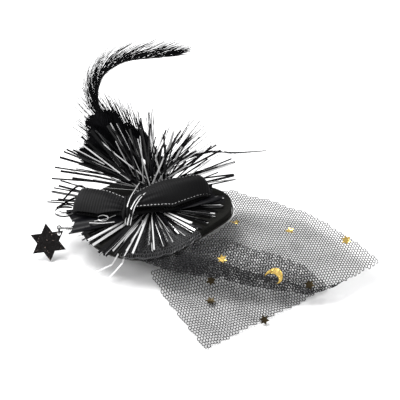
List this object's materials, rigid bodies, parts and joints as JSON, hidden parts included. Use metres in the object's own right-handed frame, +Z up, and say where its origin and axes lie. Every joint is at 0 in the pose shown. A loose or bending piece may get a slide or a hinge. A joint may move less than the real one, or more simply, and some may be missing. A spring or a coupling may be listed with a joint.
{
  "type": "fascinator headpiece",
  "caption": "Clip-on party fascinator: felt teardrop base with ribbon bow, foil tinsel burst, feathers, a net veil and a hanging six-point star.",
  "frame": {"origin": "under the middle of the teardrop base, on the surface that the closed clip stands on, inside the clip's lower face", "axes": "+X along the base towards the veil's free corner, +Y to the back, where the feathers stand, +Z up"},
  "size_m": [0.1432, 0.1047, 0.0739],
  "materials": {
    "black_felt": "matte short-pile felt",
    "grey_board": "stiff pressed-fibre board",
    "piping_cord": "thin twisted cord with a dull sheen",
    "plated_steel": "nickel-plated pressed sheet",
    "spring_wire": "drawn spring wire",
    "grosgrain": "ribbed grosgrain with a blue-black cast",
    "satin": "smooth satin ribbon",
    "core_thread": "wound black thread",
    "black_foil": "glossy metallised film strip",
    "silver_foil": "mirror-bright metallised film strip",
    "black_feather": "soft matte barbs",
    "feather_shaft": "smooth quill",
    "black_net": "fine open tulle",
    "gold_foil": "bright gold film",
    "bronze_foil": "dark bronze film",
    "dark_glitter": "dark glitter film on felt",
    "dark_metal": "black-plated wire",
    "glitter_stem": "glitter-flecked stem"
  },
  "bodies": {
    "base": {"base_backing": "black_felt", "base_board": "grey_board", "base_cover": "black_felt", "bow_knot": "grosgrain", "bow_loop_left": "grosgrain", "bow_loop_right": "grosgrain", "bow_tail_left": "satin", "bow_tail_right": "satin", "clip_pin": "plated_steel", "clip_spring": "spring_wire", "clip_upper_arm": "plated_steel", "confetti_dark_stars": "bronze_foil", "confetti_gold_stars": "gold_foil", "confetti_moon": "gold_foil", "feather_herl": "black_feather", "feather_pad_left": "black_feather", "feather_pad_low": "black_feather", "feather_pad_right": "black_feather", "feather_pad_tall": "black_feather", "garland_core": "core_thread", "hackle_left": "black_feather", "hackle_right": "black_feather", "pendant_ring": "dark_metal", "pendant_stem": "glitter_stem", "plume_shaft": "feather_shaft", "plume_vane": "black_feather", "quill_binding": "core_thread", "rim_piping": "piping_cord", "tinsel_drop_strands": "silver_foil", "tinsel_fan_front": "black_foil", "tinsel_fan_rear": "black_foil", "tinsel_high_tier": "black_foil", "tinsel_low_tier": "black_foil", "veil_bottom_layer": "black_net", "veil_gather": "black_net", "veil_top_layer": "black_net"},
    "clip_jaw": {"clip_lower_arm": "plated_steel"},
    "star": {"pendant_star": "dark_glitter"}
  },
  "joints": [
    {"name": "jaw_hinge", "type": "hinge", "parent": "base", "child": "clip_jaw", "pos_m": [-0.005, 0, 0.0045], "axis": [0, 1, 0], "range_deg": [0, 20], "stiffness_Nm_per_rad": 0.05, "springref_deg": -57.3, "deforming": ["clip_spring"]},
    {"name": "star_swing", "type": "hinge", "parent": "base", "child": "star", "pos_m": [-0.0412, -0.01023, 0.01055], "axis": [1, 0, 0], "range_deg": [-45, 50]}
  ]
}
